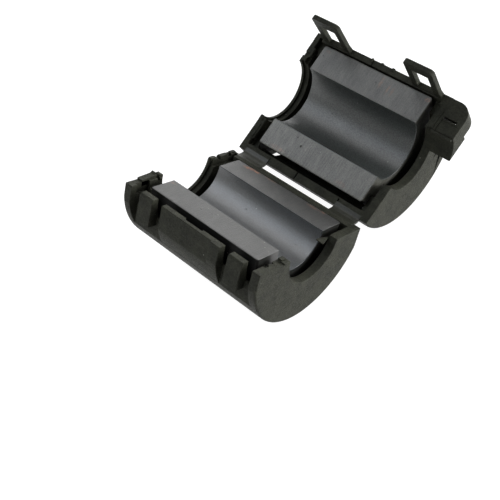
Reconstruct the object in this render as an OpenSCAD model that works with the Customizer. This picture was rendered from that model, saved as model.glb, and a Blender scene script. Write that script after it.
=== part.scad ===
// Clip-on ferrite bead for a 13 mm cable, hinged open.
// Row frame, in mm: origin on the base core's bore axis at the middle of the housing's length,
// +X along the bore towards the tie block, +Y from the base half towards the cover half, +Z up.
// Each half is drawn in its own frame: x along the bore, v from the hinge towards the latch,
// n up out of the core faces, with the origin at the middle of the housing half.

/* [Cores] */
// outer radius of a core half
core_r = 12.95; // [12:0.05:13.2]
// bore radius of a core half
bore_r = 6.7; // [5.5:0.1:7]
// length of a core half
core_len = 28.4; // [26:0.1:29]
// width of the bevel round a core's outer end edges
core_bevel = 0.3; // [0.2:0.05:0.5]

/* [Housing] */
// room between a core and the wall of its cavity
core_room = 0.95; // [0.85:0.05:1.05]
// thickness of the housing's round wall
wall = 2.6; // [2.5:0.05:3]
// room between a core's end and its stop rib
end_room = 0.4; // [0.2:0.05:0.6]
// radius of the rounded outer end edges
end_round = 0.5; // [0.3:0.1:1.2]
// how far the base cavity lies towards the latch, and the cover cavity towards the hinge
cavity_shift = 0.45; // [0.3:0.05:0.5]
// thickness of each end wall
end_wall = 1.9; // [1.6:0.1:2.2]
// how far the rims lie under the core faces
rim_drop = 0.25; // [0.2:0.05:0.3]
// room between the bore and the rim of the cable hole in an end wall
cable_room = 0.6; // [0.4:0.1:1]
// width of the bevel round the cable hole
cable_bevel = 0.2; // [0.1:0.05:0.4]
// depth of the base's outer flat on the latch side, under the round
base_latch_cut = 0.5; // [0.3:0.05:0.7]
// depth of the base's outer flat on the hinge side
base_hinge_cut = 1; // [0.6:0.05:1.1]
// depth of the cover's outer flat on the latch side, which the loops continue
cover_latch_cut = 1.6; // [1.5:0.05:1.7]
// depth of the cover's outer flat on the hinge side
cover_hinge_cut = 0.25; // [0.1:0.05:0.8]

/* [Core seats] */
// length of the rib that stops a core's end, inside each end wall
stop_len = 1.4; // [1.1:0.1:1.4]
// how far the top of that rib lies under the core faces
stop_drop = 1.8; // [1.5:0.1:2.5]
// width of each saddle rib under a core
saddle_w = 1.6; // [1:0.1:2]
// how far a saddle's ends lie under the core faces
saddle_drop = 4; // [3.5:0.1:6]
// distance of the base's outer saddles from the core's ends
saddle_inset = 4.7; // [4:0.1:6]
// distance between the two saddles of the cover
cover_saddle_gap = 9; // [6:0.5:11]
// how far each stop rib stands in from the cavity's wall, over the core's end
stop_reach = 3.2; // [2:0.1:4]
// clearance between a core and its seats
seat_gap = 0.05; // [0.03:0.01:0.08]

/* [Hinge] */
// distance of the hinge axis from the round of each half
hinge_gap = 0.2; // [0.15:0.05:0.7]
// angle between the two halves as the clip stands open
open_angle = 128; // [120:0.5:140]
// width of the gap between the core faces when the clip is shut
shut_gap = 0.1; // [0.06:0.02:0.2]
// width of each strap
strap_w = 6.6; // [5:0.1:7]
// distance of each strap from the housing's end
strap_inset = 1.8; // [1.5:0.1:2.5]
// thickness of a strap
strap_t = 0.5; // [0.4:0.05:0.7]
// width of the slit across the cover's hinge rim
slit_w = 0.35; // [0.3:0.05:0.5]
// how far the slit lies from the middle
slit_x = 1.8; // [0:0.1:3]

/* [Latch] */
// distance of each loop from the inside of the end wall
loop_inset = 0.65; // [0.6:0.05:0.9]
// outer width of a loop
loop_w = 7; // [6.6:0.1:7.2]
// thickness of a loop
loop_t = 1.05; // [0.9:0.05:1.1]
// length of a loop out from the core faces
loop_len = 9.5; // [9:0.1:10]
// radius of a loop's outer corners
loop_round = 0.9; // [0.6:0.1:1.2]
// width of the hole in a loop
loop_hole_w = 3.9; // [3.6:0.1:4]
// length of the hole in a loop out from the core faces
loop_hole_len = 6.8; // [6.5:0.1:7]
// clearance between a loop's hole and each side of its catch
catch_side_gap = 0.17; // [0.12:0.01:0.3]
// clearance between a loop and the underside of its catch when the clip is shut
catch_end_gap = 0.2; // [0.15:0.05:0.3]
// clearance between a loop and the recess that it lies in
recess_gap = 0.1; // [0.08:0.02:0.16]
// clearance between each side of a loop and its recess, towards the middle rib
recess_side_gap = 0.45; // [0.3:0.05:0.6]
// how far down each recess is open to the cavity
recess_open = 4.6; // [4.4:0.1:5]
// height of the locating tongue on the base's far end wall, above the base's rim
tongue_h = 0.45; // [0.3:0.05:0.5]
// width of the locating tongue
tongue_w = 4; // [3:0.1:4.5]
// distance of the locating tongue from the cable hole
tongue_gap = 1.7; // [1:0.1:2]
// width of the hook beside the cable hole on the near end wall
hook_w = 1.7; // [1.2:0.1:2]
// width of the step beside the hook
step_w = 4.1; // [3:0.1:4.3]
// depth of the step beside the hook
step_h = 0.25; // [0.2:0.05:0.5]
// width of the notch in the middle rib's inner edge
notch_w = 4.6; // [4:0.1:6]
// how far the notch lies from the middle
notch_x = 0.1; // [0:0.05:2]
// how far the notch cuts into the rib
notch_v = 1.05; // [0.8:0.05:1.1]
// depth of the notch
notch_h = 1.35; // [1:0.05:2]

/* [Tie block] */
// how far the block stands out past the end wall
block_len = 5; // [4.5:0.1:5.5]
// depth of the block down from the core faces
block_h = 5.8; // [5.5:0.1:6.5]
// how much less deep the block is past its first cell
block_step = 1.2; // [0.8:0.1:1.6]
// how far the block's outer face lies inside the cover's latch flat
block_inset = 0.05; // [0.05:0.05:0.3]
// radius of the block's outer corner
block_round = 3; // [2:0.1:3.4]
// length of the cells in the block, along the bore
cell_len = 2.9; // [2.5:0.1:3.1]
// thickness of the ribs between the cells
cell_rib = 0.7; // [0.6:0.1:1]
// thickness of the block's top over the cells
cell_roof = 1.2; // [0.8:0.1:1.6]
// width of the slot for a cable tie through the middle cell's roof
tie_slot_w = 0.5; // [0.4:0.1:1]

/* [Cover windows] */
// length of the tag panel along the crown
panel_len = 27; // [26:0.5:28]
// width of the tag panel
panel_w = 5.5; // [5:0.1:6]
// depth of the tag panel
panel_depth = 0.3; // [0.2:0.05:0.4]
// length of the spring tongue at each end of the panel
spring_len = 5; // [4.5:0.1:5.5]
// width of a spring tongue
spring_w = 4; // [3.6:0.1:4.2]
// width of the gap past a spring tongue's tip
spring_end_gap = 1; // [0.8:0.1:1.4]
// thickness of a spring tongue
spring_t = 1.2; // [1:0.1:1.4]
// distance of a side window from the end wall
side_window_gap = 0.1; // [0.1:0.05:0.4]
// length of a side window along the bore
side_window_len = 2.8; // [2.4:0.1:3]
// width of a side window round the housing
side_window_w = 6.6; // [6:0.1:7]
// angle of a side window from the crown
side_window_angle = 50; // [46:1:54]

/* [Hidden] */
$fn = 96;
eps = 0.01;
core_col = [0.42, 0.42, 0.41];
shell_col = [0.17, 0.175, 0.165];
stop_x = core_len / 2 + end_room;
wall_x = stop_x + stop_len;
half_len = wall_x + end_wall;
core_play = end_room - seat_gap;
cavity_r = core_r + core_room;
body_r = cavity_r + wall;
cable_hole_r = bore_r + cable_room;
base_latch_flat = body_r - base_latch_cut;
base_hinge_flat = body_r - base_hinge_cut;
cover_latch_flat = body_r - cover_latch_cut;
cover_hinge_flat = body_r - cover_hinge_cut;
base_saddle_x = core_len / 2 - saddle_inset;
hinge_reach = body_r + hinge_gap;
tilt = (180 - open_angle) / 2;
hinge_n = shut_gap / 2;
hinge_y = hinge_reach * cos(tilt) + hinge_n * sin(tilt);
hinge_z = hinge_n * cos(tilt) - hinge_reach * sin(tilt);
loop_x = wall_x - loop_inset - loop_w / 2;
strap_x = half_len - strap_inset - strap_w / 2;
loop_in = cover_latch_flat - loop_t;
recess_v = loop_in - recess_gap;
catch_w = loop_hole_w - 2 * catch_side_gap;
catch_n = loop_hole_len - shut_gap - catch_end_gap;
recess_n = loop_len + 1;
mid_rib_half = loop_x - loop_w / 2 - recess_side_gap;
tongue_v = cable_hole_r + tongue_gap;
step_v = cable_hole_r + hook_w;
block_v = cover_latch_flat - block_inset;
side_window_x = wall_x - side_window_gap - side_window_len / 2;
block_x = half_len + block_len;
cell_in = cable_hole_r + cell_rib;
cell_out = block_v - cell_rib - 0.5;
cell_w = (cell_out - cell_in - 2 * cell_rib) / 3;
cell_x = half_len + cell_rib;
spring_x = panel_len / 2 - spring_end_gap;

// A cylinder along the bore, from x0 to x1, with its axis at v.
module along(r, x0, x1, v = 0) {
    translate([x0, v, 0])
        rotate([0, 90, 0])
            cylinder(r = r, h = x1 - x0);
}

// A box between two corners.
module box(a, b) {
    translate(a)
        cube([b[0] - a[0], b[1] - a[1], b[2] - a[2]]);
}

// The base half's frame, placed in the row frame.
module in_base() {
    rotate([-tilt, 0, 0])
        mirror([0, 1, 0])
            children();
}

// The cover half's frame, placed in the row frame.
module in_cover() {
    translate([0, hinge_y, hinge_z])
        rotate([tilt, 0, 0])
            translate([0, hinge_reach, -hinge_n])
                children();
}

// The outside of a half before the rims and flats are cut: a drum with rounded end edges.
module drum() {
    rotate([0, 90, 0])
        rotate_extrude()
            union() {
                translate([0, -half_len])
                    square([body_r - end_round, 2 * half_len]);
                translate([0, end_round - half_len])
                    square([body_r, 2 * (half_len - end_round)]);
                for (s = [-1, 1])
                    translate([body_r - end_round, s * (half_len - end_round)])
                        circle(r = end_round, $fn = 48);
            }
}

// The bevel round the cable hole, at one end.
module cable_bevel_cut(s) {
    translate([s * half_len, 0, 0])
        rotate([0, -90 * s, 0])
            translate([0, 0, -eps])
                cylinder(r1 = cable_hole_r + cable_bevel + eps, r2 = cable_hole_r, h = cable_bevel + eps);
}

// A plain half: trough, end walls, end stops and saddles.
module plain_half(hinge_flat, latch_flat, cavity_v, saddles) {
    difference() {
        intersection() {
            drum();
            box([-half_len - 1, -hinge_flat, -body_r - 1], [half_len + 1, latch_flat, -rim_drop]);
        }
        difference() {
            along(cavity_r, -wall_x, wall_x, cavity_v);
            for (s = [-1, 1])
                translate([s * (stop_x + stop_len / 2), 0, -stop_drop - body_r])
                    cube([stop_len + eps, 3 * body_r, 2 * body_r], center = true);
            for (x = saddles)
                translate([x, 0, -saddle_drop - body_r])
                    cube([saddle_w, 3 * body_r, 2 * body_r], center = true);
        }
        along(core_r + seat_gap, -stop_x, stop_x);
        along(cavity_r - stop_reach, -wall_x, wall_x);
        for (s = [-1, 1]) {
            along(cable_hole_r, s < 0 ? -half_len - 1 : wall_x, s < 0 ? -wall_x : half_len + 1);
            cable_bevel_cut(s);
        }
    }
}

// A half core.
module core_half(shift_x) {
    color(core_col)
        translate([shift_x, 0, 0])
            difference() {
                rotate([0, 90, 0])
                    rotate_extrude()
                        polygon([
                            [bore_r, -core_len / 2 + core_bevel], [bore_r + core_bevel, -core_len / 2],
                            [core_r - core_bevel, -core_len / 2], [core_r, -core_len / 2 + core_bevel],
                            [core_r, core_len / 2 - core_bevel], [core_r - core_bevel, core_len / 2],
                            [bore_r + core_bevel, core_len / 2], [bore_r, core_len / 2 - core_bevel]
                        ]);
                box([-core_len, -2 * core_r, 0], [core_len, 2 * core_r, 2 * core_r]);
            }
}

// The recess for one loop, beside its catch.
module recess() {
    x0 = mid_rib_half;
    difference() {
        union() {
            box([x0, recess_v, -recess_n], [wall_x, body_r + 1, 1]);
            box([x0, cavity_r - 1, -recess_open], [wall_x, body_r + 1, 1]);
        }
        box([loop_x - catch_w / 2, 0, -catch_n], [loop_x + catch_w / 2, base_latch_flat, 1]);
    }
}

// The base half of the housing, with its catches.
module base_shell() {
    color(shell_col)
        in_base() {
            difference() {
                union() {
                    plain_half(base_hinge_flat, base_latch_flat, cavity_shift,
                        [-base_saddle_x, 0, base_saddle_x]);
                    // the catches stand out of the drum at their lower ends
                    difference() {
                        for (s = [-1, 1])
                            box([s * loop_x - catch_w / 2, cavity_r - 1, -catch_n],
                                [s * loop_x + catch_w / 2, base_latch_flat, -rim_drop]);
                        along(cavity_r, -wall_x, wall_x, cavity_shift);
                    }
                    // the tongue on the far end wall
                    box([-half_len, tongue_v, -rim_drop - 1], [-wall_x, tongue_v + tongue_w, tongue_h - rim_drop]);
                }
                for (s = [0, 1])
                    mirror([s, 0, 0])
                        recess();
                // the notch in the middle rib's inner edge
                box([-notch_x - notch_w / 2, cavity_r - 1, -rim_drop - notch_h],
                    [-notch_x + notch_w / 2, recess_v + notch_v, 1]);
                // the step in the near end wall's rim, beside the hook
                box([wall_x - eps, step_v, -rim_drop - step_h], [half_len + 1, step_v + step_w, 1]);
            }
        }
}

// The crown panel: a shallow tag field with a spring tongue cut free at each end.
module panel_cut() {
    box([-panel_len / 2, -panel_w / 2, -body_r - 1], [panel_len / 2, panel_w / 2, -body_r + panel_depth + 0.1]);
    for (s = [0, 1])
        mirror([s, 0, 0])
            difference() {
                box([spring_x - spring_len, -panel_w / 2, -body_r - 1], [panel_len / 2, panel_w / 2, -core_r]);
                box([0, -spring_w / 2, -body_r - 2], [spring_x, spring_w / 2, 0]);
            }
}

// The room under and over one spring tongue, which leaves it sloping in to the core.
module spring_cut() {
    x0 = spring_x - spring_len;
    top0 = -body_r + panel_depth + 0.1;
    top1 = -core_r - spring_t - 0.1;
    rotate([90, 0, 0])
        translate([0, 0, -spring_w / 2 - eps])
            linear_extrude(spring_w + 2 * eps)
                polygon([
                    [x0, -body_r - 1], [spring_x + eps, -body_r - 1],
                    [spring_x + eps, top1], [x0, top0]
                ]);
}

// A side window, at one end and one side.
module side_window(sx, sv) {
    rotate([sv * side_window_angle, 0, 0])
        translate([sx * side_window_x, 0, -body_r])
            cube([side_window_len, side_window_w, 2 * (body_r - core_r) - 0.6], center = true);
}

// The tie block on the cover's near end: an open ladder of three cells under a flat top.
module tie_block() {
    difference() {
        intersection() {
            box([wall_x, 0, -block_h], [block_x, block_v, -rim_drop]);
            union() {
                box([wall_x, 0, -block_h - 1], [block_x - block_round, 2 * body_r, 1]);
                box([wall_x, 0, -block_h - 1], [block_x + 1, block_v - block_round, 1]);
                translate([block_x - block_round, block_v - block_round, -block_h - 1])
                    cylinder(r = block_round, h = block_h + 2);
            }
        }
        along(cable_hole_r, wall_x - 1, block_x + 1);
        box([half_len, cell_in + cell_w + cell_rib, -block_h - 1],
            [block_x + 1, body_r, block_step - block_h]);
        for (k = [0:2])
            translate([cell_x, cell_in + k * (cell_w + cell_rib), -block_h - 1])
                cube([cell_len, cell_w, block_h + 1 - rim_drop - cell_roof]);
        translate([cell_x, cell_in + cell_w + cell_rib + (cell_w - tie_slot_w) / 2, -block_h])
            cube([cell_len, tie_slot_w, block_h + 1]);
    }
}

// The cover half of the housing, with the tie block.
module cover_shell() {
    color(shell_col)
        in_cover() {
            difference() {
                plain_half(cover_hinge_flat, cover_latch_flat, -cavity_shift,
                    [-cover_saddle_gap / 2, cover_saddle_gap / 2]);
                panel_cut();
                for (s = [0, 1])
                    mirror([s, 0, 0])
                        spring_cut();
                for (sx = [-1, 1])
                    for (sv = [-1, 1])
                        side_window(sx, sv);
                // the slit in the hinge rim
                box([-slit_x - slit_w / 2, -body_r, -0.9], [-slit_x + slit_w / 2, 1 - cavity_r, 1]);
            }
            tie_block();
        }
}

// One loop, standing on the cover's rim.
module latch_loop(s) {
    color(shell_col)
        in_cover()
            translate([s * loop_x, cover_latch_flat, 0])
                rotate([90, 0, 0])
                    linear_extrude(loop_t)
                        difference() {
                            union() {
                                translate([-loop_w / 2, -rim_drop])
                                    square([loop_w, rim_drop + loop_len - loop_round]);
                                translate([-loop_w / 2 + loop_round, 0])
                                    square([loop_w - 2 * loop_round, loop_len]);
                                for (k = [-1, 1])
                                    translate([k * (loop_w / 2 - loop_round), loop_len - loop_round])
                                        circle(r = loop_round, $fn = 48);
                            }
                            translate([-loop_hole_w / 2, 0])
                                square([loop_hole_w, loop_hole_len]);
                        }
}

// One strap of the hinge, bent as the clip stands open.
module hinge_strap(s) {
    top = (hinge_n + rim_drop) / cos(tilt);
    low = (hinge_n + rim_drop + strap_t) / cos(tilt);
    color(shell_col)
        translate([s * strap_x - strap_w / 2, hinge_y, hinge_z])
            rotate([90, 0, 90])
                linear_extrude(strap_w)
                    polygon([
                        [0, -top],
                        [-(hinge_reach - base_hinge_flat) * cos(tilt) - (hinge_n + rim_drop) * sin(tilt),
                            (hinge_reach - base_hinge_flat) * sin(tilt) - (hinge_n + rim_drop) * cos(tilt)],
                        [-(hinge_reach - base_hinge_flat) * cos(tilt) - (hinge_n + rim_drop + strap_t) * sin(tilt),
                            (hinge_reach - base_hinge_flat) * sin(tilt) - (hinge_n + rim_drop + strap_t) * cos(tilt)],
                        [0, -low],
                        [(hinge_reach - cover_hinge_flat) * cos(tilt) + (hinge_n + rim_drop + strap_t) * sin(tilt),
                            (hinge_reach - cover_hinge_flat) * sin(tilt) - (hinge_n + rim_drop + strap_t) * cos(tilt)],
                        [(hinge_reach - cover_hinge_flat) * cos(tilt) + (hinge_n + rim_drop) * sin(tilt),
                            (hinge_reach - cover_hinge_flat) * sin(tilt) - (hinge_n + rim_drop) * cos(tilt)]
                    ]);
}

module base_core() {
    in_base()
        core_half(core_play);
}

module cover_core() {
    in_cover()
        core_half(0);
}

module hinge_strap_left() {
    hinge_strap(-1);
}

module hinge_strap_right() {
    hinge_strap(1);
}

module latch_loop_left() {
    latch_loop(-1);
}

module latch_loop_right() {
    latch_loop(1);
}

base_shell();
base_core();
cover_shell();
cover_core();
hinge_strap_left();
hinge_strap_right();
latch_loop_left();
latch_loop_right();
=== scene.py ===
"""Clip-on ferrite bead, standing open on its two round backs: pieces, materials, light and camera.

Each half is modelled in millimetres in its own frame, x along the bore, v from the hinge towards the
latch and n up out of the core faces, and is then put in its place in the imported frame, in metres.
"""

import math
from functools import partial
from types import SimpleNamespace

import bmesh
import bpy
from mathutils import Euler, Matrix, Vector


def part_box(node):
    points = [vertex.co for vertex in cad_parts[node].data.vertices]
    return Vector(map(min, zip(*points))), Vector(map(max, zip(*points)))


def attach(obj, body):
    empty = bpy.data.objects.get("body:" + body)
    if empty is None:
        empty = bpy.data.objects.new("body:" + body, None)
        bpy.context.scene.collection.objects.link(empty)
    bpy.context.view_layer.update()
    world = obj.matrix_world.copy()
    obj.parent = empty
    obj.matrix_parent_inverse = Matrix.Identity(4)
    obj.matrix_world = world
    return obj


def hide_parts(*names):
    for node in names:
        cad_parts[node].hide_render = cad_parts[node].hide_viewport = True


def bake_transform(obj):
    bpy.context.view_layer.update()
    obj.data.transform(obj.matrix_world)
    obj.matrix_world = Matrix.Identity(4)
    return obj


bl_info = {
    "name": "Clip-on ferrite bead",
    "version": (1, 0, 0),
    "blender": (4, 5, 0),
    "location": "3D View > Sidebar > Ferrite bead",
    "description": "Models a split ferrite core in a hinged nylon housing on the packed frame",
    "category": "Object",
}

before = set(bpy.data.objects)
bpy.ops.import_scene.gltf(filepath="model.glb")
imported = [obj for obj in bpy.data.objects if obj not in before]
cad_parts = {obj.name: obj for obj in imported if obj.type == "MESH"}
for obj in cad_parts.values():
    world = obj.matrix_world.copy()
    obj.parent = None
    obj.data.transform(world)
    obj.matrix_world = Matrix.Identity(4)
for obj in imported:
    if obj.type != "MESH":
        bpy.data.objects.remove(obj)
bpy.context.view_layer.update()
BASE, COVER = -1, 1  # the sign that v has along the row's y in each half
TILT = math.radians(26)  # how far each half leans over to its hinge side


def length(name, text, mm):
    """A length that the panel shows, given here in millimetres."""
    return bpy.props.FloatProperty(
        name=name, description=text, default=mm / 1000, min=0, precision=5, unit="LENGTH"
    )


def colour(name, text, code):
    """A colour that the panel shows, given as an sRGB hex value."""
    return bpy.props.StringProperty(name=name, description=text, default=code)


class CoreSizes(bpy.types.PropertyGroup):
    core_r: length("Outer radius", "Outer radius of a core half", 12.95)
    bore_r: length("Bore radius", "Radius of the bore", 6.7)
    core_len: length("Length", "Length of a core half", 28.4)
    core_bevel: length("Edge bevel", "Bevel round a core's outer end edges", 0.3)
    core_edge: length("Edge rounding", "Rounding of the ground edges of a core", 0.14)
    core_chip: length("Chipped corner", "Size of the worn corner of the base core", 0.7)
    core_play: length("Play", "How far the base core has slid towards the near end", 0.35)


class HousingSizes(bpy.types.PropertyGroup):
    body_r: length("Outer radius", "Outer radius of the housing", 16.498)
    half_len: length("Half length", "Half the length of the housing", 17.87)
    cavity_r: length("Cavity radius", "Radius of the room for a core", 13.9)
    cavity_shift: length("Cavity shift", "How far the base cavity lies towards the latch", 0.45)
    wall_x: length("End wall", "Distance of the inside of each end wall from the middle", 16.0)
    stop_x: length("Core stop", "Distance of each stop rib from the middle", 14.6)
    end_round: length("End rounding", "Rounding of the outer end edges", 0.45)
    base_flat: length("Base latch flat", "Distance of the base's latch side from the bore axis", 16.0)
    cover_flat: length("Cover latch flat", "Distance of the cover's latch side from the bore axis", 14.9)
    rim_drop: length("Rim drop", "How far the rims lie under the core faces", 0.25)
    hole_r: length("Cable hole", "Radius of the cable hole in an end wall", 7.3)
    edge: length("Moulded edge", "Rounding of every moulded edge", 0.09)


class HingeSizes(bpy.types.PropertyGroup):
    reach: length("Hinge reach", "Distance of the hinge axis from each half's middle", 16.7)
    lift: length("Hinge lift", "Height of the hinge axis over the core faces", 0.05)
    strap_x: length("Strap place", "Distance of each strap's middle from the middle", 12.8)
    strap_w: length("Strap width", "Width of a strap", 6.6)
    strap_t: length("Strap thickness", "Thickness of a strap", 0.5)


class LatchSizes(bpy.types.PropertyGroup):
    loop_x: length("Loop place", "Distance of each loop's middle from the middle", 11.85)
    loop_w: length("Loop width", "Outer width of a loop", 7.0)
    loop_t: length("Loop thickness", "Thickness of a loop", 1.05)
    loop_len: length("Loop length", "Length of a loop out from the core faces", 9.5)
    loop_hole_w: length("Loop hole width", "Width of the hole in a loop", 3.9)
    loop_hole_len: length("Loop hole length", "Length of the hole in a loop", 6.8)
    catch_w: length("Catch width", "Width of a catch", 3.56)
    catch_n: length("Catch depth", "How far a catch reaches down from the core faces", 6.5)


class FinishColours(bpy.types.PropertyGroup):
    nylon: colour("Nylon", "Black nylon, as it is moulded", "#2D2E28")
    nylon_worn: colour("Nylon, mottled", "Paler spots of the moulded grain", "#3F4037")
    nylon_rubbed: colour("Nylon, rubbed", "Nylon where it is rubbed dull", "#52534C")
    dust: colour("Dust", "Pale dust specks", "#9C9C94")
    base_ground: colour("Ferrite, base face", "Ground faces of the base core", "#31312E")
    cover_ground: colour("Ferrite, cover face", "Ground face of the cover core at the hinge", "#7A7A71")
    # the cover's ground face is drawn darker on its latch side than on its hinge side
    cover_latch_tone: colour("Ferrite, worn cover face", "Ground face of the cover core at the latch", "#595952")
    ferrite_dark: colour("Ferrite, grinding lines", "Grinding lines of the cores", "#1D1E1D")
    ferrite_fired: colour("Ferrite, fired", "Bore of the cores, as it is fired", "#0C0D0F")
    base_bloom: colour("Ferrite, base bloom", "Paler crystals in the base core's bore", "#333C41")
    cover_bloom: colour("Ferrite, cover bloom", "Paler crystals in the cover core's bore", "#4D5350")
    # painted shade: the outside of each core, in the gap to the housing, is coloured dark for the shade
    # there
    ferrite_skin_shade: colour("Ferrite, skin", "Unground outside of the cores", "#1C1C1B")
    ferrite_pore: colour("Ferrite, pores", "Pores and pits of the cores", "#121211")
    rust: colour("Rust", "Rust stains on the cores", "#A8683A")
    floor: colour("Floor", "Table top under the bead", "#FFFFFF")


def sizes():
    """Every length of the panel in millimetres, by name."""
    scene = bpy.context.scene
    groups = (scene.bead_core, scene.bead_housing, scene.bead_hinge, scene.bead_latch)
    return SimpleNamespace(**{k: 1000 * getattr(g, k) for g in groups for k in g.__annotations__})


# Modelling


def activate(obj):
    """Makes obj the only selected object and the active one."""
    bpy.ops.object.select_all(action="DESELECT")
    obj.select_set(True)
    bpy.context.view_layer.objects.active = obj


def block(side, x, v, n):
    """A box between two values of x, v and n."""
    low, high = Vector((x[0], v[0], n[0])), Vector((x[1], v[1], n[1]))
    middle, size = (low + high) / 2, high - low
    bpy.ops.object.select_all(action="DESELECT")
    bpy.ops.mesh.primitive_cube_add(size=1, location=(middle.x, side * middle.y, middle.z), scale=size)
    bpy.ops.object.transform_apply()
    return bpy.context.object


def drum(side, r, x, v=0, vertices=128):
    """A cylinder along the bore between two values of x, with its axis at v."""
    bpy.ops.object.select_all(action="DESELECT")
    bpy.ops.mesh.primitive_cylinder_add(
        vertices=vertices,
        radius=r,
        depth=x[1] - x[0],
        location=((x[0] + x[1]) / 2, side * v, 0),
        rotation=(0, math.pi / 2, 0),
    )
    bpy.ops.object.transform_apply()
    return bpy.context.object


def edit(obj, test, kind="EDGE"):
    """Opens obj in edit mode with only those of its corners, edges or faces selected that test accepts."""
    activate(obj)
    bpy.ops.object.mode_set(mode="EDIT")
    bpy.ops.mesh.select_mode(type=kind)
    bpy.ops.mesh.select_all(action="DESELECT")
    mesh = bmesh.from_edit_mesh(obj.data)
    for part in {"VERT": mesh.verts, "EDGE": mesh.edges, "FACE": mesh.faces}[kind]:
        if test(part):
            part.select = True
    mesh.select_flush_mode()
    bmesh.update_edit_mesh(obj.data)


def leave():
    """Closes edit mode."""
    bpy.ops.object.mode_set(mode="OBJECT")


def round_edges(obj, test, width, segments=2):
    """Rounds the edges that test accepts."""
    edit(obj, test)
    bpy.ops.mesh.bevel(offset=width, segments=segments, affect="EDGES", clamp_overlap=True)
    leave()
    return obj


def slice_off(obj, point, normal):
    """Cuts obj on a plane, and takes off what lies on the normal's side."""
    edit(obj, lambda face: True, "FACE")
    bpy.ops.mesh.bisect(plane_co=point, plane_no=normal, use_fill=True, clear_outer=True)
    leave()
    return obj


def combine(obj, others, operation="DIFFERENCE"):
    """Cuts the others from obj, or joins them to it."""
    tools = bpy.data.collections.new("tools")
    for other in others:
        tools.objects.link(other)
    activate(obj)
    change = obj.modifiers.new("combine", "BOOLEAN")
    change.operation, change.solver = operation, "EXACT"
    change.operand_type, change.collection = "COLLECTION", tools
    bpy.ops.object.modifier_apply(modifier=change.name)
    for other in others:
        bpy.data.objects.remove(other)
    bpy.data.collections.remove(tools)
    return obj


def copy_along(obj, x):
    """A copy of obj with its own mesh, moved by x along the bore."""
    activate(obj)
    bpy.ops.object.duplicate(linked=False)
    other = bpy.context.object
    other.location.x = x
    bpy.ops.object.transform_apply()
    return other


def stand(obj, others):
    """Sets the others on obj as they are, each a closed shell that reaches into it."""
    activate(obj)
    for other in others:
        other.select_set(True)
    bpy.ops.object.join()
    return obj


def hinge_axis():
    """The middle of the hinge axis in the row frame, in millimetres."""
    s = sizes()
    out = s.reach * math.cos(TILT) + s.lift * math.sin(TILT)
    return Vector((0, out, s.lift * math.cos(TILT) - s.reach * math.sin(TILT)))


def half_frame(side):
    """Takes a point from a half's frame to the row frame, both in millimetres."""
    s, lean = sizes(), Matrix.Rotation(side * TILT, 4, "X")
    if side == BASE:
        return lean
    return Matrix.Translation(hinge_axis()) @ lean @ Matrix.Translation((0, s.reach, -s.lift))


def place(obj, side):
    """Moves a piece from its half's frame in millimetres to the row frame in metres."""
    activate(obj)
    obj.matrix_world = Matrix.Scale(0.001, 4) @ half_frame(side) @ obj.matrix_world
    bpy.ops.object.transform_apply(location=True, rotation=True, scale=True)
    return obj


def clean(obj, edge=0.0, segments=2):
    """Joins what the cuts left apart, and rounds every sharp edge."""
    activate(obj)
    bpy.ops.object.mode_set(mode="EDIT")
    bpy.ops.mesh.select_all(action="SELECT")
    bpy.ops.mesh.remove_doubles(threshold=0.02)
    bpy.ops.mesh.dissolve_limited(angle_limit=math.radians(0.6))
    bpy.ops.mesh.dissolve_degenerate(threshold=0.01)
    leave()
    if edge:
        bevel = obj.modifiers.new("edge", "BEVEL")
        bevel.width, bevel.segments = edge, segments
        bevel.limit_method, bevel.angle_limit = "ANGLE", math.radians(35)
        bevel.use_clamp_overlap = False
        bevel.miter_outer = "MITER_SHARP"
        bpy.ops.object.modifier_apply(modifier=bevel.name)
    return obj


def dress(obj, name, body, nodes, material=None):
    """Names a finished piece, shades it, and hangs it on its CAD body in place of its node."""
    obj.name = obj.data.name = name
    activate(obj)
    bpy.ops.object.shade_smooth_by_angle(angle=math.radians(46))
    weights = obj.modifiers.new("weights", "WEIGHTED_NORMAL")
    weights.keep_sharp, weights.weight = True, 80
    bpy.ops.object.modifier_apply(modifier=weights.name)
    if material:
        obj.data.materials.append(material)
    if body:
        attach(obj, body)
    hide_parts(*nodes)
    return obj


# Materials


def linear(code):
    """An sRGB hex value as a linear colour."""
    parts = [int(code[i : i + 2], 16) / 255 for i in (1, 3, 5)]
    return [c / 12.92 if c <= 0.04045 else ((c + 0.055) / 1.055) ** 2.4 for c in parts] + [1]


def wire(node, sockets):
    """Gives each named or numbered socket of a node its value, or links it to the output given."""
    for socket, value in sockets.items():
        if isinstance(value, bpy.types.NodeSocket):
            node.id_data.links.new(value, node.inputs[socket])
        else:
            node.inputs[socket].default_value = value


def add(tree, kind, sockets, output=0, **settings):
    """Adds a node with its settings and its sockets' values or links, and gives one of its outputs."""
    node = tree.nodes.new("ShaderNode" + kind)
    for key, value in settings.items():
        setattr(node, key, value)
    wire(node, sockets)
    return node.outputs[output]


def material(name):
    """A new material, its shader, its object coordinates and the function that adds a node to it."""
    new = bpy.data.materials.new(name)
    new.use_nodes = True
    node = partial(add, new.node_tree)
    coordinates = node("TexCoord", {}, "Object")
    return new, new.node_tree.nodes["Principled BSDF"], coordinates, node


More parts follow.
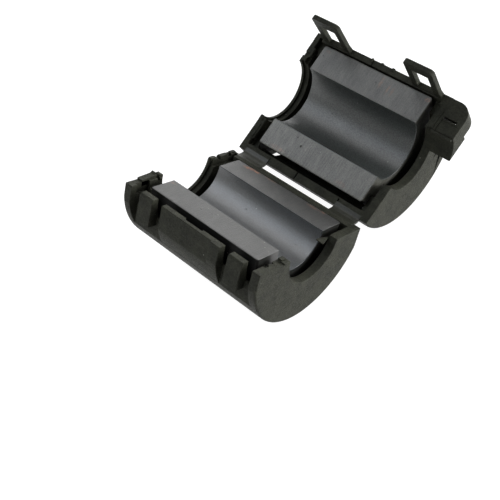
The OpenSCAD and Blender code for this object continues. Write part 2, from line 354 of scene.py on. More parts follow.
def moulded_nylon(name="moulded_nylon", depth=0.9, rough=(0.62, 0.42), shine=0.08):
    """Black nylon 66, moulded in a spark-eroded tool: matt, mottled, scuffed and a little dusty."""
    if name in bpy.data.materials:
        return bpy.data.materials[name]
    hues = bpy.context.scene.bead_finish
    new, shader, coordinates, node = material(name)
    mm = node("Mapping", {"Vector": coordinates, "Scale": (1000, 1000, 1000)})
    # the eroded grain is about 0.05 mm; it is drawn at 0.4 mm, so that it shows
    grain = node("TexNoise", {"Vector": mm, "Scale": 2.6, "Detail": 4, "Roughness": 0.75})
    cloud = node("TexNoise", {"Vector": mm, "Scale": 0.35, "Detail": 3, "Roughness": 0.6})
    mottle = node("Math", {0: grain, 1: cloud}, operation="ADD")
    mottle = node("MapRange", {0: mottle, 1: 0.78, 2: 1.22})
    skin = node("Mix", {0: mottle, 6: linear(hues.nylon), 7: linear(hues.nylon_worn)}, 2, data_type="RGBA")
    # rubbed streaks about 0.2 mm wide and 3 mm long
    streaks = node("Mapping", {"Vector": mm, "Scale": (0.35, 4, 4)})
    streaks = node("TexNoise", {"Vector": streaks, "Scale": 1.0, "Detail": 3, "Roughness": 0.7})
    rubs = node("MapRange", {0: streaks, 1: 0.62, 2: 0.78, 3: 0, 4: 0.6})
    skin = node("Mix", {0: rubs, 6: skin, 7: linear(hues.nylon_rubbed)}, 2, data_type="RGBA")
    # dust specks of about 0.1 to 0.2 mm, on one cell of the pattern in twenty
    dusty = specks(node, mm, 0.9, (0.07, 0.15), (0.94, 0.97), 0.7)
    skin = node("Mix", {0: dusty, 6: skin, 7: linear(hues.dust)}, 2, data_type="RGBA")
    fine = node("TexNoise", {"Vector": mm, "Scale": 6, "Detail": 2, "Roughness": 0.6})
    fine = node("Math", {0: fine, 1: 0.5}, operation="MULTIPLY")
    relief = node("Math", {0: grain, 1: fine}, operation="ADD")
    sockets = {
        "Base Color": skin,
        "Roughness": node("MapRange", {0: grain, 1: 0.3, 2: 0.7, 3: rough[0], 4: rough[1]}),
        "Normal": node("Bump", {"Height": relief, "Strength": depth, "Distance": 0.00012}),
        "IOR": 1.53,
        "Specular IOR Level": shine,
    }
    wire(shader, sockets)
    return new


def bent_nylon():
    """The same nylon, thin and drawn smooth where it bends at the hinge."""
    return moulded_nylon("bent_nylon", 0.2, (0.32, 0.26), 0.25)


def specks(node, cells, scale, size, rare, strength, channel=0):
    """Round specks on some cells of a pattern, picked by one channel of their colours."""
    near = node("TexVoronoi", {"Vector": cells, "Scale": scale})
    lot = node("SeparateColor", {0: near.node.outputs["Color"]}, channel)
    near = node("MapRange", {0: near, 1: size[0], 2: size[1], 3: 1, 4: 0})
    lot = node("MapRange", {0: lot, 1: rare[0], 2: rare[1]})
    both = node("Math", {0: near, 1: lot}, operation="MULTIPLY")
    return node("Math", {0: both, 1: strength}, operation="MULTIPLY")


# stains on the ground faces: x, v, half length along x, half length along v, in millimetres, and strength
RUST = {
    BASE: (
        (-10.3, -11.9, 1.5, 0.6, 0.8),
        (-8.6, -12.4, 2.1, 0.5, 0.9),
        (-4.2, -12.6, 2.2, 0.4, 0.3),
        (7.6, -12.3, 1.9, 0.45, 0.4),
        (10.2, -12.5, 1.2, 0.4, 0.4),
        (-12.9, 7.8, 0.9, 0.4, 0.2),
    ),
    COVER: (
        (-9.2, -12.2, 2.6, 0.7, 0.35),
        (8.0, -11.9, 1.9, 0.8, 0.22),
        (2.4, 11.2, 0.5, 2.0, 0.3),
        (4.6, 10.4, 0.4, 1.9, 0.25),
        (5.7, 10.2, 0.5, 1.5, 0.2),
        (13.5, 12.1, 0.7, 0.6, 0.7),
        (-12.6, 11.9, 0.9, 0.5, 0.2),
    ),
}
# pits where a grain broke out: x, v and radius in millimetres
PITS = {
    BASE: ((-3.1, 9.9, 0.16), (9.3, -8.2, 0.12)),
    COVER: ((-4.7, -9.3, 0.3), (1.4, 8.6, 0.14), (9.9, 10.9, 0.12)),
}
# how strongly each part of a core reflects: its ground faces, its glassy bore and its matt outside
FERRITE_IOR = {
    BASE: (("ground", 1.8), ("bore", 2.35), ("outer", 1.25)),
    COVER: (("ground", 1.85), ("bore", 1.9), ("outer", 1.25)),
}


def mark(node, half, centre, reach):
    """How near a point is to centre: 1 inside, falling to 0 at the given reach along each axis."""
    off = node("VectorMath", {0: half, 1: centre}, operation="SUBTRACT")
    share = node("VectorMath", {0: off, 1: reach}, operation="DIVIDE")
    far = node("VectorMath", {0: share}, "Value", operation="LENGTH")
    return node("MapRange", {0: far, 1: 0.25, 2: 1.0, 3: 1, 4: 0})


def ground_grain(node, half):
    """The grain of a ground face, about 0.5 all over, with lines along v and broad clouds."""
    # grinding lines are about 0.02 mm apart; they are drawn 0.2 mm apart, so that they show
    grain = node("TexNoise", {"Vector": half, "Scale": 3.4, "Detail": 4, "Roughness": 0.7})
    lines = node("Mapping", {"Vector": half, "Scale": (3.6, 0.28, 1)})
    lines = node("TexNoise", {"Vector": lines, "Scale": 1.0, "Detail": 4, "Roughness": 0.75})
    clouds = node("Mapping", {"Vector": half, "Scale": (0.35, 0.18, 1)})
    clouds = node("TexNoise", {"Vector": clouds, "Scale": 1.0, "Detail": 3, "Roughness": 0.6})
    tone = None
    for part, share in ((grain, 0.375), (lines, 0.375), (clouds, 0.25)):
        part = node("Math", {0: part, 1: share}, operation="MULTIPLY")
        tone = node("Math", {0: tone, 1: part}, operation="ADD") if tone is not None else part
    return tone


def ferrite_holes(node, half, side):
    """The pores of the ceramic and the pits where a grain broke out: 1 in a hole."""
    holes = specks(node, half, 0.55, (0.05, 0.1), (0.55, 0.6), 1, channel=1)
    for x, v, size in PITS[side]:
        pit = mark(node, half, (x, side * v, 0), (size, size, 0.5))
        holes = node("Math", {0: holes, 1: pit}, operation="MAXIMUM")
    return holes


def ferrite(side, part, ior):
    """Nickel-zinc ferrite, pressed and sintered: dark ceramic, dull where ground, glassy in the bore."""
    s, hues = sizes(), bpy.context.scene.bead_finish
    new, shader, coordinates, node = material(f"{part}_ferrite_{'base' if side == BASE else 'cover'}")
    # the half's own frame in millimetres, in which across is v in the cover and -v in the base
    back = half_frame(side).inverted()
    settings = {"Location": back.to_translation(), "Rotation": back.to_euler(), "Scale": (1000, 1000, 1000)}
    half = node("Mapping", {"Vector": coordinates, **settings})
    _, across, up = node("SeparateXYZ", {0: half}).node.outputs
    radius = node("CombineXYZ", {1: across, 2: up})
    radius = node("VectorMath", {0: radius}, "Value", operation="LENGTH")
    face = node("MapRange", {0: up, 1: -0.16, 2: -0.06})
    bore = node("MapRange", {0: radius, 1: s.bore_r + 0.1, 2: s.bore_r + 0.25, 3: 1, 4: 0})
    # skin marks the core's outside; it makes it matt, and below the ground faces it carries the painted
    # shade of the gap to the housing
    skin = node("MapRange", {0: radius, 1: s.core_r - 0.6, 2: s.core_r - 0.3})

    tone = ground_grain(node, half)
    ground = linear(hues.base_ground)
    if side == COVER:
        # the cover's ground face changes from the hinge-side colour to the darker latch-side colour across
        # the bore
        latchward = node("MapRange", {0: across, 1: -5, 2: 5})
        ground = {0: latchward, 6: linear(hues.cover_ground), 7: linear(hues.cover_latch_tone)}
        ground = node("Mix", ground, 2, data_type="RGBA")
    lines = node("MapRange", {0: tone, 1: 0.36, 2: 0.64})
    ground = node("Mix", {0: lines, 6: linear(hues.ferrite_dark), 7: ground}, 2, data_type="RGBA")
    # the fired skin of the bore is speckled with crystals of 0.01 mm, drawn at 0.3 mm so that they show
    crystals = node("TexNoise", {"Vector": half, "Scale": 3.8, "Detail": 3, "Roughness": 0.85})
    pale = node("MapRange", {0: crystals, 1: 0.38, 2: 0.64})
    bloom = linear(hues.base_bloom if side == BASE else hues.cover_bloom)
    fired = node("Mix", {0: pale, 6: linear(hues.ferrite_fired), 7: bloom}, 2, data_type="RGBA")
    hue = node("Mix", {0: bore, 6: ground, 7: fired}, 2, data_type="RGBA")
    # painted shade: the outside under the ground faces is coloured dark for the shade in the gap between
    # core and housing
    under = node("Math", {0: 1.0, 1: face}, operation="SUBTRACT")
    outside = node("Math", {0: skin, 1: under}, operation="MULTIPLY")
    holes = ferrite_holes(node, half, side)
    dusty = node("Mapping", {"Vector": half, "Scale": (1, 1, 1.1)})
    dusty = specks(node, dusty, 0.8, (0.06, 0.11), (0.93, 0.96), 0.8)
    layers = [(outside, hues.ferrite_skin_shade), (holes, hues.ferrite_pore), (dusty, hues.dust)]
    ragged = node("TexNoise", {"Vector": half, "Scale": 1.6, "Detail": 4, "Roughness": 0.7})
    ragged = node("MapRange", {0: ragged, 1: 0.38, 2: 0.62})
    for x, v, long, wide, strength in RUST[side]:
        stain = mark(node, half, (x, side * v, 0), (long, wide, 0.6))
        stain = node("Math", {0: stain, 1: ragged}, operation="MULTIPLY")
        stain = node("Math", {0: stain, 1: strength}, operation="MULTIPLY")
        layers.append((stain, hues.rust))
    for cover, code in layers:
        hue = node("Mix", {0: cover, 6: hue, 7: linear(code)}, 2, data_type="RGBA")

    bore_rough, face_rough = (0.37, 0.5) if side == BASE else (0.4, 0.44)
    rough = node("MapRange", {0: face, 1: 0, 2: 1, 3: bore_rough, 4: face_rough})
    uneven = node("MapRange", {0: tone, 1: 0.35, 2: 0.65, 3: 0.08, 4: -0.08})
    rough = node("Math", {0: rough, 1: uneven}, operation="ADD")
    matt = node("Math", {0: skin, 1: holes}, operation="MAXIMUM")
    matt = node("Math", {0: matt, 1: 0.6}, operation="MULTIPLY")
    rough = node("Math", {0: rough, 1: matt}, operation="MAXIMUM")
    speckle = node("Math", {0: bore, 1: 0.42}, operation="MULTIPLY")
    speckle = node("Math", {0: crystals, 1: speckle}, operation="MULTIPLY")
    relief = node("Math", {0: tone, 1: face}, operation="MULTIPLY")
    relief = node("Math", {0: relief, 1: speckle}, operation="ADD")
    depth = node("Math", {0: holes, 1: 2.0}, operation="MULTIPLY")
    relief = node("Math", {0: relief, 1: depth}, operation="SUBTRACT")
    bump = node("Bump", {"Height": relief, "Strength": 0.9, "Distance": 0.00012})
    wire(shader, {"Base Color": hue, "Roughness": rough, "Normal": bump, "IOR": ior})
    return new


# Pieces


def plain_half(side, hinge_flat, latch_flat, cavity_v):
    """The drum of a half with its rims and flats, its cavity and its cable holes."""
    s = sizes()
    shell = drum(side, s.body_r, (-s.half_len, s.half_len), vertices=160)
    round_edges(shell, lambda e: is_ring(e, s.half_len), s.end_round, 3)
    slice_off(shell, (0, 0, -s.rim_drop), (0, 0, 1))
    slice_off(shell, (0, side * latch_flat, 0), (0, side, 0))
    slice_off(shell, (0, -side * hinge_flat, 0), (0, -side, 0))
    return combine(
        shell,
        [
            drum(side, s.cavity_r, (-s.wall_x, s.wall_x), cavity_v),
            drum(side, s.hole_r, (-s.half_len - 1, s.half_len + 1), vertices=96),
        ],
    )


def is_ring(edge, x):
    """Whether an edge runs round a drum at x or -x."""
    a, b = (v.co.x for v in edge.verts)
    return abs(a - b) < 0.001 and abs(abs(a) - x) < 0.001


def seats(side, cavity_v, saddles, saddle_n, stop_v):
    """The ribs that hold a core: end stops, up to stop_v on the latch side, and saddles up to saddle_n."""
    s = sizes()
    bed = drum(side, s.cavity_r + 0.1, (-s.wall_x - 0.1, s.wall_x + 0.1), cavity_v)
    walls = [block(side, (-s.stop_x, s.stop_x), (-20, 20), (-20, 20))]
    walls += [block(side, (-20, 20), (-20, 20), (-1.8, 20)), block(side, (-20, 20), (stop_v, 30), (-5, 30))]
    stops = combine(bed, walls + [drum(side, s.cavity_r - 3.2, (-20, 20))])
    ribs = drum(side, s.cavity_r + 0.1, (-s.stop_x, s.stop_x), cavity_v)
    gaps = [block(side, (-20, 20), (-20, 20), (saddle_n, 20)), drum(side, s.core_r + 0.05, (-20, 20))]
    edges = sorted([-20, 20] + [x - 0.8 for x in saddles] + [x + 0.8 for x in saddles])
    gaps += [block(side, edges[i : i + 2], (-20, 20), (-20, 20)) for i in range(0, len(edges), 2)]
    return [stops, combine(ribs, gaps)]


def core_part(face):
    """Which part of a core a face belongs to: 0 is ground, 1 is the bore and 2 is the fired outside."""
    s, middle = sizes(), face.calc_center_median()
    radius = math.hypot(middle.y, middle.z)
    in_bore = radius < s.bore_r + 0.05 and middle.z < -0.1
    if in_bore and abs(middle.x) < 0.48 * s.core_len:
        return 1
    return 2 if radius > s.core_r - 0.4 and middle.z < -0.15 else 0


def core_half(side, shift):
    """One half core: a ring turned about the bore, cut in half on its ground faces."""
    s = sizes()
    core = drum(side, s.core_r, (-s.core_len / 2, s.core_len / 2), vertices=160)
    round_edges(core, lambda e: is_ring(e, s.core_len / 2), s.core_bevel, 1)
    combine(core, [drum(side, s.bore_r, (-20, 20), vertices=128)])
    slice_off(core, (0, 0, 0), (0, 0, 1))
    if side == BASE:
        corner = Vector((s.core_len / 2, BASE * s.bore_r, 0))
        edit(core, lambda v: (v.co - corner).length < 0.05, "VERT")
        bpy.ops.mesh.bevel(offset=s.core_chip, segments=3, affect="VERTICES", clamp_overlap=False)
        leave()
    core.location.x = shift
    activate(core)
    bpy.ops.object.transform_apply()
    return clean(core, s.core_edge)


def loop_recess(side, end):
    """The room for one loop beside its catch, open to the cavity at the top."""
    s = sizes()
    x = sorted((end * 7.9, end * s.wall_x))
    room = block(side, x, (13.75, 18), (-10.5, 1))
    return combine(room, [block(side, x, (12.9, 18), (-4.6, 1))], "UNION")


def catch(side, end):
    """One catch, standing up from the drum, with a sloped top that leads the loop over it."""
    s = sizes()
    x = end * s.loop_x
    body = block(side, (x - s.catch_w / 2, x + s.catch_w / 2), (12.9, 16.0), (-s.catch_n, -s.rim_drop))
    slice_off(body, (0, side * 15.7, -s.rim_drop), (0, side, 0.8))
    return combine(body, [drum(side, s.cavity_r, (-s.wall_x, s.wall_x), s.cavity_shift)])


def far_wall_base():
    """What the far end wall of the base carries on its top, and what is cut from it."""
    s = sizes()
    end = -s.half_len
    # a sloped tongue with a pointed tooth at its inner end, and a rounded knob beside the cable hole
    tongue = block(BASE, (end, -16.5), (9.1, 13.0), (-1.25, 1))
    slice_off(tongue, (0, BASE * 13.0, 0.1), (0, BASE * 0.07, 1))
    tooth = block(BASE, (end, -16.9), (9.1, 9.7), (-1, 0.72))
    slice_off(tooth, (0, BASE * 9.1, 0.72), (0, BASE * 0.7, 1))
    knob = block(BASE, (end + 0.15, -16.3), (7.45, 8.45), (-1, 0.25))
    round_edges(knob, lambda e: all(v.co.z > 0.2 for v in e.verts), 0.25, 2)
    pads = [
        block(BASE, (end + 0.1, -16.9), (-8.7, -7.45), (-0.6, -0.05)),
        block(BASE, (end + 0.25, -16.7), (-12.3, -10.1), (-0.6, 0.0)),
        block(BASE, (end + 0.1, -17.0), (-15.3, -13.7), (-0.6, -0.05)),
    ]
    cuts = [
        block(BASE, (end - 1, -15.8), (8.45, 9.1), (-0.9, 1)),
        block(BASE, (-16.65, -15.8), (-15.0, -5), (-1.7, 1)),
        block(BASE, (end - 1, -15.8), (-10.1, -9.3), (-0.8, 1)),
        block(BASE, (end + 0.5, -15.8), (-13.7, -12.6), (-0.8, 1)),
        block(BASE, (-16.5, -15.8), (11.2, 14.5), (-2.4, 1)),
        drum(BASE, s.hole_r + 0.5, (-17.2, -15.5), vertices=96),
    ]
    return [tongue, tooth, knob] + pads, cuts


def near_wall_base():
    """What the near end wall of the base carries on its top, and what is cut from it."""
    s = sizes()
    # a thin flake over the stop rib, broken off at a slant at both ends
    flake = block(BASE, (14.9, 16.7), (-7.9, -4.5), (-1.2, -1.0))
    slice_off(flake, (15.75, -BASE * 7.9, 0), (-0.93, -BASE * 0.3, 0))
    slice_off(flake, (16.7, -BASE * 4.6, 0), (0.93, -BASE * 0.28, 0))
    adds = [
        block(BASE, (s.wall_x + 0.02, 16.9), (7.7, 8.9), (-0.6, 0.05)),
        block(BASE, (s.wall_x - 0.25, s.wall_x + 0.1), (8.6, 10.2), (-0.75, -0.55)),
        flake,
    ]
    cuts = [
        block(BASE, (s.wall_x - 0.01, 16.5), (11.7, 13.3), (-1.2, 1)),
        block(BASE, (s.wall_x - 0.01, 16.35), (10.4, 11.1), (-0.85, 1)),
    ]
    return adds, cuts


def sunk_face():
    """The slice that leaves the middle of the latch side a little sunk, more so towards the far end."""
    slab = block(BASE, (-7.95, 5.4), (15.62, 17), (-8, 1))
    slice_off(slab, (-7.95, BASE * 15.62, 0), (-0.027, -BASE, 0))
    return slab


class BaseShell(bpy.types.Operator):
    """Models the base half of the housing, with its catches and loop recesses"""

    bl_idname = "bead.base_shell"
    bl_label = "Base shell"

    def execute(self, context):
        s = sizes()
        shell = plain_half(BASE, 15.5, s.base_flat, s.cavity_shift)
        combine(shell, [loop_recess(BASE, -1), loop_recess(BASE, 1)])
        # a low step in the near wall, and a pocket in the rim between the catches
        step = block(BASE, (s.wall_x - 0.01, 20), (9.0, 13.1), (-0.5, 1))
        pocket = block(BASE, (-2.4, 2.2), (12.9, 14.8), (-1.6, 1))
        combine(shell, [step, pocket, sunk_face()])
        combine(shell, [catch(BASE, -1), catch(BASE, 1)], "UNION")
        clean(shell, s.edge)
        far_adds, far_cuts = far_wall_base()
        near_adds, near_cuts = near_wall_base()
        combine(shell, far_cuts + near_cuts)
        stand(shell, seats(BASE, s.cavity_shift, (-9.5, 0, 9.5), -7, 11.3) + far_adds + near_adds)
        place(shell, BASE)
        dress(shell, "housing_base", "base", ["base_shell"], moulded_nylon())
        return {"FINISHED"}


def spring_room(end):
    """What is cut away round one spring tongue in the crown, which slopes in to the core."""
    s = sizes()
    inner, tip = sorted((end * 7.5, end * 13.5)), end * 12.5
    room = block(COVER, inner, (-2.75, 2.75), (-17.5, -s.core_r))
    tongue = block(COVER, sorted((end * 7.4, tip)), (-2, 2), (-16.1, -14.9))
    edit(tongue, lambda f: f.normal.x * end > 0.9, "FACE")
    bpy.ops.transform.translate(value=(0, 0, 0.85))
    leave()
    return combine(room, [tongue])


def side_window(end, turn):
    """The hole of one side window."""
    s = sizes()
    x = end * 14.5
    window = block(COVER, (x - 1.4, x + 1.4), (-3.3, 3.3), (-20, -s.core_r + 0.3))
    edit(window, lambda f: f.normal.z > 0.9, "FACE")
    bpy.ops.transform.resize(value=(1.3, 1.2, 1))
    bpy.ops.transform.translate(value=(-end * 0.5, 0, 0))
    leave()
    window.rotation_euler.x = turn * math.radians(50)
    activate(window)
    bpy.ops.object.transform_apply()
    return window


def tie_block():
    """The block for a cable tie: three cells under a flat top, with a rounded outer corner."""
    s = sizes()
    far, out = s.half_len + 5, 14.85
    body = block(COVER, (s.wall_x, far), (0, out), (-5.8, -s.rim_drop))
    round_edges(
        body,
        lambda e: all(v.co.x > far - 0.01 and v.co.y > out - 0.01 for v in e.verts),
        3.0,
        8,
    )
    cells = [block(COVER, (18.6, 21.5), (v, v + 1.42), (-7, -1.45)) for v in (8.0, 10.12, 12.23)]
    room = [
        drum(COVER, s.hole_r, (15, 30), vertices=96),
        block(COVER, (s.half_len, 30), (10.12, 20), (-8, -4.6)),
    ]
    return combine(body, cells + room)


def cover_rims():
    """The small steps, the slit and the burrs on the rims of the cover."""
    s = sizes()
    end = -s.half_len
    adds = [
        # a ridge and pads on the far wall
        block(COVER, (-17.1, -16.5), (-12.9, -9.2), (-0.6, -0.05)),
        block(COVER, (end + 0.1, -16.9), (-8.6, -7.5), (-0.6, -0.08)),
        block(COVER, (-16.4, -15.9), (9.2, 10.8), (-1.2, -0.7)),
        # the frame round the panel of the tie block
        block(COVER, (17.0, 17.75), (7.4, 11.9), (-0.8, -0.08)),
        block(COVER, (17.9, 22.6), (6.75, 7.15), (-0.8, -0.1)),
        # burrs on the latch rim, and a pad on the near wall
        block(COVER, (-2.5, -2.25), (14.1, 14.95), (-0.7, 0.3)),
        block(COVER, (-0.2, 0.4), (14.5, 15.0), (-0.7, -0.05)),
        block(COVER, (2.7, 3.3), (14.4, 15.0), (-0.7, 0.02)),
        block(COVER, (16.6, 17.8), (-9.0, -7.7), (-0.6, -0.12)),
    ]
    # a sloped foot beside each loop
    for x in (s.loop_x + s.loop_w / 2, -s.loop_x + s.loop_w / 2):
        foot = block(COVER, (x - 0.1, x + 0.4), (13.85, 14.85), (-0.6, 1.3))
        adds.append(slice_off(foot, (x, 0, 1.3), (0.95, 0, 0.24)))
    cuts = [
        # room for the tongue and the tooth of the base when the bead is shut
        block(COVER, (end - 1, -16.4), (8.9, 13.15), (-0.42, 1)),
        block(COVER, (end - 1, -16.4), (8.9, 9.95), (-0.8, 1)),
        # a slit in the latch rim, and steps in the far wall
        block(COVER, (-2.2, -2.0), (12.9, 17), (-1.2, 1)),
        block(COVER, (-16.7, -15.8), (11.4, 14.2), (-1.8, 1)),
        block(COVER, (-16.6, -15.8), (7, 9.2), (-1.4, 1)),
        block(COVER, (-16.5, -15.8), (-14.5, -13), (-1.2, 1)),
        drum(COVER, s.hole_r + 0.5, (-17.2, -15.5), vertices=96),
        # slits in the hinge rim
        block(COVER, (-1.98, -1.66), (-17, -12.9), (-0.9, 1)),
        block(COVER, (9.55, 9.85), (-17, -14.6), (-0.7, 1)),
        block(COVER, (-9.5, -9.35), (-17, -14.6), (-0.45, 1)),
        # the tie block's slot and its sunk panel, and a groove beside it
        block(COVER, (18.6, 21.6), (10.2, 10.75), (-3, 1)),
        block(COVER, (18.35, 22.2), (7.35, 9.95), (-0.45, 1)),
        block(COVER, (s.wall_x - 0.5, 16.65), (7.2, 12.4), (-0.95, 1)),
        block(COVER, (s.wall_x - 0.5, 17.0), (7.9, 10.2), (-0.5, 1)),
    ]
    return adds, cuts


class CoverShell(bpy.types.Operator):
    """Models the cover half of the housing, with its windows and tie block"""

    bl_idname = "bead.cover_shell"
    bl_label = "Cover shell"

    def execute(self, context):
        s = sizes()
        shell = plain_half(COVER, 16.25, s.cover_flat, -s.cavity_shift)
        combine(shell, [tie_block()], "UNION")
        windows = [side_window(end, turn) for end in (-1, 1) for turn in (-1, 1)]
        crown = block(COVER, (-13.5, 13.5), (-2.75, 2.75), (-18, -16.1))
        combine(shell, windows + [crown, spring_room(-1), spring_room(1)])
        clean(shell, s.edge)
        adds, cuts = cover_rims()
        combine(shell, cuts)
        stand(shell, seats(COVER, -s.cavity_shift, (-4.5, 4.5), -9.5, 20) + adds)
        place(shell, COVER)
        dress(shell, "housing_cover", "cover", ["cover_shell"], moulded_nylon())
        return {"FINISHED"}


class LatchLoops(bpy.types.Operator):
    """Models the two latch loops that stand on the cover's rim"""

    bl_idname = "bead.latch_loops"
    bl_label = "Latch loops"

    def execute(self, context):
        s = sizes()
        half_w, half_hole = s.loop_w / 2, s.loop_hole_w / 2
        across = (s.cover_flat - s.loop_t, s.cover_flat)
        loop = block(COVER, (-half_w, half_w), across, (-s.rim_drop, s.loop_len))
        round_edges(
            loop,
            lambda e: all(v.co.z > s.loop_len - 0.01 for v in e.verts)
            and abs(e.verts[0].co.x - e.verts[1].co.x) < 0.01,
            0.9,
            6,
        )
        combine(loop, [block(COVER, (-half_hole, half_hole), (10, 20), (0, s.loop_hole_len))])
        place(clean(loop, s.edge), COVER)
        for end, name in ((-1, "left"), (1, "right")):
            latch = copy_along(loop, end * s.loop_x / 1000)
            nodes = [f"latch_loop_{name}"]
            dress(latch, f"latch_{name}", f"loop_{name}", nodes, moulded_nylon())
        bpy.data.objects.remove(loop)
        return {"FINISHED"}


def strap_path():
    """The middle line of a strap in the row frame: flush with both rims and bent between them."""
    s, axis = sizes(), hinge_axis()
    c, d = math.cos(TILT), math.sin(TILT)
    deep = s.rim_drop + s.strap_t / 2 - 0.03

    def rim(side, v):
        """A point of the strap's middle on a half, at a distance v from the hinge axis."""
        return axis + Vector((0, side * (v * c + (deep + s.lift) * d), v * d - (deep + s.lift) * c))

    start, end = rim(BASE, 1.3), rim(COVER, 0.6)
    fold = axis - Vector((0, 0, (deep + s.lift) / c))
    bend = [start.lerp(fold, f / 8).lerp(fold.lerp(end, f / 8), f / 8) for f in range(9)]
    return [rim(BASE, 2.0)] + bend + [rim(COVER, 1.4)]


class HingeStraps(bpy.types.Operator):
    """Models the two bending straps that join the halves"""

    bl_idname = "bead.hinge_straps"
    bl_label = "Hinge straps"

    def execute(self, context):
        s = sizes()
        path = strap_path()
        bpy.ops.object.select_all(action="DESELECT")
        bpy.ops.mesh.primitive_plane_add(size=1, location=(0, path[0].y - 0.5, path[0].z))
        sheet = bpy.context.object
        sheet.scale.x = s.strap_w
        bpy.ops.object.transform_apply()
        edit(sheet, lambda e: all(v.co.y > path[0].y - 0.01 for v in e.verts))
        for here, there in zip(path, path[1:]):
            bpy.ops.mesh.extrude_region_move(TRANSFORM_OT_translate={"value": there - here})
        leave()
        edit(sheet, lambda f: f.calc_center_median().y < path[0].y - 0.3, "FACE")
        bpy.ops.mesh.delete(type="FACE")
        leave()
        thick = sheet.modifiers.new("sheet", "SOLIDIFY")
        thick.thickness, thick.offset = s.strap_t, 0
        activate(sheet)
        bpy.ops.object.modifier_apply(modifier=thick.name)
        edit(sheet, lambda f: True, "FACE")
        bpy.ops.mesh.normals_make_consistent(inside=False)
        leave()
        clean(sheet, 0.08)
        sheet.scale = (0.001,) * 3
        activate(sheet)
        bpy.ops.object.transform_apply()
        for end, name in ((-1, "left"), (1, "right")):
            strap = copy_along(sheet, end * s.strap_x / 1000)
            dress(strap, f"strap_{name}", None, [f"hinge_strap_{name}"], bent_nylon())
            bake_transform(strap)
        bpy.data.objects.remove(sheet)
        return {"FINISHED"}


class Cores(bpy.types.Operator):
    """Models the two ferrite core halves"""

    bl_idname = "bead.cores"
    bl_label = "Ferrite cores"

    def execute(self, context):
        s = sizes()
        for side, shift, body in ((BASE, s.core_play, "base"), (COVER, 0, "cover")):
            core = core_half(side, shift)
            finishes = [ferrite(side, part, ior) for part, ior in FERRITE_IOR[side]]
            for finish in finishes:
                core.data.materials.append(finish)
            for index in (1, 2):
                edit(core, lambda f: core_part(f) == index, "FACE")
                core.active_material_index = index
                bpy.ops.object.material_slot_assign()
                leave()
            place(core, side)
            dress(core, f"ferrite_{body}", body, [f"{body}_core"])
        return {"FINISHED"}


def table_top():
    """White table and backdrop: pale to the eye, with a faint shadow, and dull in its own light."""
    white = linear(bpy.context.scene.bead_finish.floor)
    new = bpy.data.materials.new("table_top")
    new.use_nodes = True
    tree = new.node_tree
    tree.nodes.remove(tree.nodes["Principled BSDF"])
    node = partial(add, tree)
    rays = node("LightPath", {}).node.outputs
    seen = node("Math", {0: rays["Is Camera Ray"], 1: rays["Is Glossy Ray"]}, operation="ADD")
    seen = node("Math", {0: seen, 1: rays["Is Transmission Ray"]}, operation="ADD")
    glow = node("Math", {0: seen, 1: 0.96}, operation="MULTIPLY")
    glow = node("Emission", {"Color": white, "Strength": glow})
    matt = node("BsdfDiffuse", {"Color": [0.3 * c for c in white[:3]] + [1]})
    both = node("AddShader", {0: matt, 1: glow})
    wire(tree.nodes["Material Output"], {"Surface": both})
    return new


# name, turn from +x and height in degrees, watts and colour
SOFTBOXES = (
    ("key", 180, 48, 0.25, "#FFFFFF"),
    ("key_front", 210, 48, 0.46, "#EAF3FF"),
    ("key_top", 160, 68, 0.33, "#FFFFFF"),
    ("side_left", 130, 28, 0.20, "#FFFFFF"),
    ("side_front", 210, 28, 0.24, "#FFFDF4"),
    ("low_left", 120, 8, 0.36, "#FFFFFF"),
    ("low_back", 90, 8, 2.09, "#FFFFFF"),
    ("low_right", 30, 8, 2.07, "#FFFFFF"),
    ("low_side", 0, 8, 0.41, "#FFFFFF"),
    ("low_front", 270, 8, 0.36, "#FFFFFF"),
    ("back_right", 60, 28, 0.65, "#FFFFFF"),
)


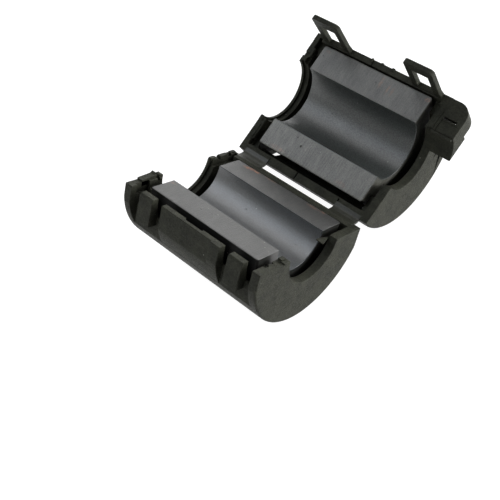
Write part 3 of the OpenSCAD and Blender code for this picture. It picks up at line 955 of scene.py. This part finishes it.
class Stage(bpy.types.Operator):
    """Sets the table, the light and the camera"""

    bl_idname = "bead.stage"
    bl_label = "Table, light and camera"

    def execute(self, context):
        scene = context.scene
        camera = bpy.data.objects.new("camera", bpy.data.cameras.new("camera"))
        scene.collection.objects.link(camera)
        camera.data.lens, camera.data.sensor_width = 58.62, 36
        camera.location = (0.0811278, -0.0693907, 0.1212741)
        camera.rotation_euler = Euler([math.radians(a) for a in (37.8248, 5.2413, 43.071)])
        scene.camera = camera
        scene.view_settings.view_transform = "Standard"
        world = bpy.data.worlds.new("studio")
        scene.world = world
        world.use_nodes = True
        sky = world.node_tree.nodes["Background"]
        sky.inputs["Color"].default_value = (1, 1, 1, 1)
        sky.inputs["Strength"].default_value = 0.02
        # a round table top with a low wall behind it on every side
        radius, wall = 3, 0.9
        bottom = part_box("base_shell")[0].z - 0.00005
        bpy.ops.object.select_all(action="DESELECT")
        middle = (0, 0, bottom + wall / 2)
        bpy.ops.mesh.primitive_cylinder_add(vertices=96, radius=radius, depth=wall, location=middle)
        bpy.ops.object.transform_apply()
        floor = context.object
        edit(floor, lambda f: f.normal.z > 0.9, "FACE")
        bpy.ops.mesh.delete(type="FACE")
        bpy.ops.mesh.select_all(action="SELECT")
        bpy.ops.mesh.flip_normals()
        leave()
        floor.name = "table"
        floor.data.materials.append(table_top())
        middle = Vector((0.0025, 0.015, 0))
        for name, turn, height, power, hue in SOFTBOXES:
            away = Euler((0, -math.radians(height), math.radians(turn))).to_matrix() @ Vector((1, 0, 0))
            lamp = bpy.data.lights.new(name, "AREA")
            lamp.shape, lamp.size, lamp.energy = "SQUARE", 0.24, power
            lamp.color = linear(hue)[:3]
            box = bpy.data.objects.new(name, lamp)
            scene.collection.objects.link(box)
            box.location = middle + 0.5 * away
            box.rotation_euler = (-away).to_track_quat("-Z", "Y").to_euler()
        return {"FINISHED"}


class BeadPanel(bpy.types.Panel):
    """Lists the sizes, the colours and the steps that build the bead"""

    bl_idname = "BEAD_PT_ferrite_bead"
    bl_label = "Clip-on ferrite bead"
    bl_space_type = "VIEW_3D"
    bl_region_type = "UI"
    bl_category = "Ferrite bead"

    def draw(self, context):
        for name, group in GROUPS.items():
            box = self.layout.box()
            box.label(text=name.removeprefix("bead_").capitalize())
            for field in group.__annotations__:
                box.prop(getattr(context.scene, name), field)
        column = self.layout.column()
        for step in STEPS:
            column.operator(step.bl_idname)


STEPS = (Stage, BaseShell, CoverShell, LatchLoops, HingeStraps, Cores)
CLASSES = (CoreSizes, HousingSizes, HingeSizes, LatchSizes, FinishColours, *STEPS, BeadPanel)
GROUPS = {
    "bead_core": CoreSizes,
    "bead_housing": HousingSizes,
    "bead_hinge": HingeSizes,
    "bead_latch": LatchSizes,
    "bead_finish": FinishColours,
}


def register():
    for cls in CLASSES:
        bpy.utils.register_class(cls)
    for name, group in GROUPS.items():
        setattr(bpy.types.Scene, name, bpy.props.PointerProperty(type=group))


def unregister():
    for name in GROUPS:
        delattr(bpy.types.Scene, name)
    for cls in reversed(CLASSES):
        bpy.utils.unregister_class(cls)


def main():
    register()
    bpy.ops.bead.stage()
    bpy.ops.bead.base_shell()
    bpy.ops.bead.cover_shell()
    bpy.ops.bead.latch_loops()
    bpy.ops.bead.hinge_straps()
    bpy.ops.bead.cores()


if __name__ == "__main__":
    main()
